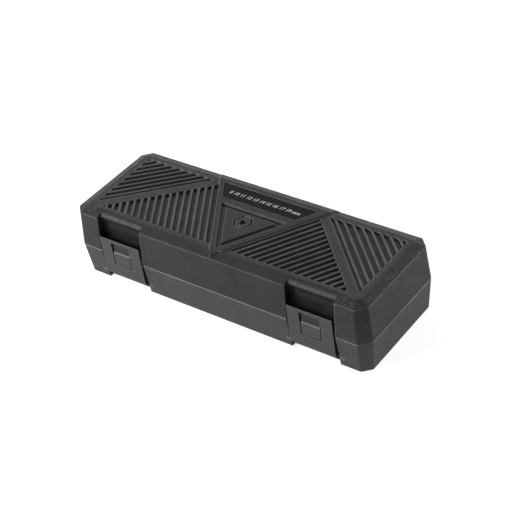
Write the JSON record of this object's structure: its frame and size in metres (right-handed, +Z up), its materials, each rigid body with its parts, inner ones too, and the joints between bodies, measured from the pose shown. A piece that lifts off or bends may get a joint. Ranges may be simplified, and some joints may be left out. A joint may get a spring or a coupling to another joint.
{
  "type": "socket wrench set in case",
  "caption": "Latched hard case with ribbed lid holding a foam tray of sockets, a reversible ratchet, extension bars and a spark plug socket.",
  "frame": {"origin": "middle of the case's underside, where it rests", "axes": "+X along the case from its left end to its right end, +Y from the latches to the hinges, +Z up through the lid"},
  "size_m": [0.28, 0.1062, 0.0635],
  "materials": {
    "base_plastic": "moulded black plastic with a fine grain",
    "lid_plastic": "moulded black plastic with a fine grain",
    "latch_plastic": "satin black plastic",
    "plate_plastic": "smooth black plate",
    "tray_foam": "dense black foam, cut to the tools",
    "foam": "fine-celled black foam",
    "pin_steel": "drawn steel",
    "tool_chrome": "polished chrome plate",
    "dark_steel": "hardened steel, slightly dark",
    "grip_rubber": "soft black rubber"
  },
  "bodies": {
    "base": {"base_shell": "base_plastic", "tool_tray": "tray_foam", "left_hinge_pin": "pin_steel", "right_hinge_pin": "pin_steel", "left_latch_pin": "pin_steel", "right_latch_pin": "pin_steel", "ratchet_body": "tool_chrome", "ratchet_grip": "grip_rubber", "head_cover": "tool_chrome", "cover_screws": "dark_steel", "extension_bar_150": "tool_chrome", "extension_bar_75": "tool_chrome", "spark_plug_socket": "tool_chrome", "spark_plug_ring": "grip_rubber", "pawl_spring": "dark_steel", "socket_8mm": "tool_chrome", "socket_10mm": "tool_chrome", "socket_11mm": "tool_chrome", "socket_12mm": "tool_chrome", "socket_13mm": "tool_chrome", "socket_14mm": "tool_chrome", "socket_15mm": "tool_chrome", "socket_16mm": "tool_chrome", "socket_17mm": "tool_chrome", "socket_19mm": "tool_chrome"},
    "lid": {"lid_shell": "lid_plastic", "lid_foam": "foam", "name_plate": "plate_plastic"},
    "left_latch": {"left_latch": "latch_plastic"},
    "right_latch": {"right_latch": "latch_plastic"},
    "drive": {"drive_gear": "tool_chrome", "drive_ball": "pin_steel"},
    "release_button": {"release_button": "tool_chrome"},
    "reversing_lever": {"reversing_lever": "tool_chrome"},
    "pawl": {"pawl": "dark_steel"}
  },
  "joints": [
    {"name": "lid_hinge", "type": "hinge", "parent": "base", "child": "lid", "pos_m": [0, 0.0532, 0.0293], "axis": [-1, 0, 0], "range_deg": [0, 150]},
    {"name": "left_latch_hinge", "type": "hinge", "parent": "base", "child": "left_latch", "pos_m": [-0.091, -0.0457, 0.008], "axis": [1, 0, 0], "range_deg": [0, 90]},
    {"name": "right_latch_hinge", "type": "hinge", "parent": "base", "child": "right_latch", "pos_m": [0.091, -0.0457, 0.008], "axis": [1, 0, 0], "range_deg": [0, 90]},
    {"name": "drive_spin", "type": "hinge", "parent": "base", "child": "drive", "pos_m": [0.108, 0.0091, 0.0245], "axis": [0, 0, 1], "continuous": true},
    {"name": "release_press", "type": "slide", "parent": "drive", "child": "release_button", "axis": [0, 0, -1], "range_m": [0, 0.0022], "stiffness_N_per_m": 150, "springref_m": -0.001},
    {"name": "reversing_lever_turn", "type": "hinge", "parent": "base", "child": "reversing_lever", "pos_m": [0.089, 0.0091, 0.0339], "axis": [0, 0, 1], "range_deg": [0, 50]},
    {"name": "pawl_rock", "type": "hinge", "parent": "base", "child": "pawl", "pos_m": [0.089, 0.0091, 0.0245], "axis": [0, 0, 1], "range_deg": [0, 8]}
  ],
  "couplings": [
    {"joint": "pawl_rock", "follows": "reversing_lever_turn", "ratio": 0.16}
  ]
}
